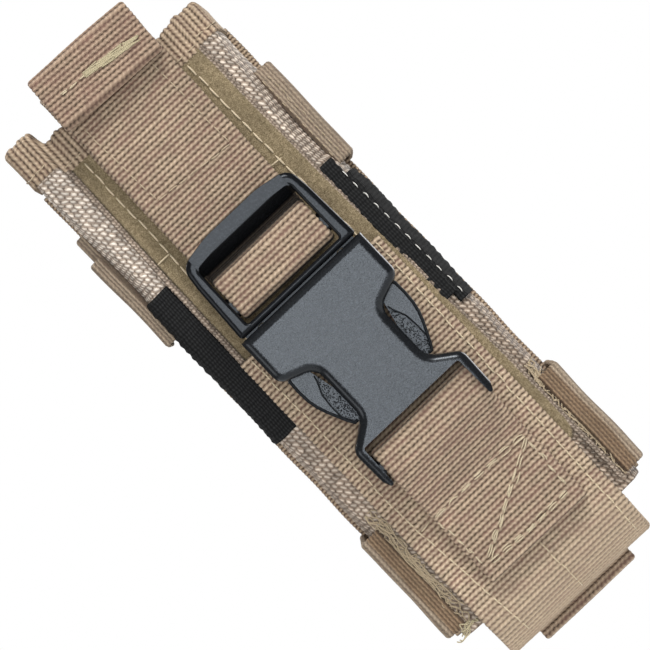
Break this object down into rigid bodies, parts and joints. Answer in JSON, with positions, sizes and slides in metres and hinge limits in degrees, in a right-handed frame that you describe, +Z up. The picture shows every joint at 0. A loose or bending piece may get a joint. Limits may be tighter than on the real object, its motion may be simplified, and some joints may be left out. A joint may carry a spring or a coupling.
{
  "type": "belt pouch for a hand torch",
  "caption": "Upright nylon belt pouch for a hand torch, with elastic side gussets, an adjustable strap over the mouth, a side-release buckle and a snap-down back strap.",
  "frame": {"origin": "centre of the outer (wearer side) face of the sewn anchor of the back strap", "axes": "+Z up towards the mouth, +Y out of the back towards what the pouch hangs on, so the front with the buckle faces -Y, +X to the right as seen from the front"},
  "size_m": [0.0556, 0.0498, 0.1544],
  "materials": {
    "webbing": "ribbed nylon webbing, tan",
    "nylon_body": "plain coated pack cloth, tan",
    "nylon_basket": "coarse basket-weave ballistic nylon, tan",
    "loop_tape": "brushed loop tape, olive tan",
    "grosgrain": "ribbed grosgrain binding, tan",
    "elastic_black": "woven elastic, black",
    "hook_tape": "hook tape, black",
    "stiffener_sheet": "thin polyethylene sheet",
    "buckle_plastic": "grained moulded acetal, charcoal",
    "snap_metal": "plain brass",
    "snap_cap": "black enamelled"
  },
  "bodies": {
    "pocket": {"back_panel": "nylon_body", "back_stiffener": "stiffener_sheet", "back_lining": "nylon_body", "front_panel": "nylon_body", "loop_tape": "loop_tape", "gusset_left_upper": "nylon_basket", "gusset_left_lower": "nylon_basket", "gusset_right_upper": "nylon_basket", "gusset_right_lower": "nylon_basket", "elastic_left": "elastic_black", "elastic_right": "elastic_black", "mouth_binding": "grosgrain", "back_binding": "grosgrain", "wrap_webbing": "webbing", "upper_back_band": "webbing", "lower_back_band": "webbing", "molle_anchor": "webbing", "snap_stud": "snap_metal", "buckle_female": "buckle_plastic", "female_web_loop": "webbing"},
    "retention": {"buckle_male": "buckle_plastic", "retention_strap": "webbing", "strap_loop_tape": "loop_tape"},
    "latch_left": {"latch_arm_left": "buckle_plastic"},
    "latch_right": {"latch_arm_right": "buckle_plastic"},
    "tail": {"strap_tail": "webbing", "tail_hook_tape": "hook_tape", "pull_tab": "webbing"},
    "molle": {"molle_strap": "webbing", "molle_stiffener": "stiffener_sheet", "snap_socket": "snap_metal", "snap_cap": "snap_cap"}
  },
  "joints": [
    {"name": "strap_release", "type": "slide", "parent": "pocket", "child": "retention", "axis": [0, 0, 1], "range_m": [0, 0.03]},
    {"name": "latch_squeeze_left", "type": "hinge", "parent": "retention", "child": "latch_left", "pos_m": [-0.0107, -0.043, -0.0263], "axis": [0, -1, 0], "range_deg": [0, 8], "stiffness_Nm_per_rad": 2},
    {"name": "latch_squeeze_right", "type": "hinge", "parent": "retention", "child": "latch_right", "pos_m": [0.0107, -0.043, -0.0263], "axis": [0, 1, 0], "range_deg": [0, 8], "stiffness_Nm_per_rad": 2},
    {"name": "tail_peel", "type": "hinge", "parent": "retention", "child": "tail", "pos_m": [0, -0.0407, -0.0035], "axis": [1, 0, 0], "range_deg": [0, 95]},
    {"name": "back_strap_swing", "type": "hinge", "parent": "pocket", "child": "molle", "pos_m": [0, 0, -0.0117], "axis": [1, 0, 0], "range_deg": [0, 120]}
  ]
}
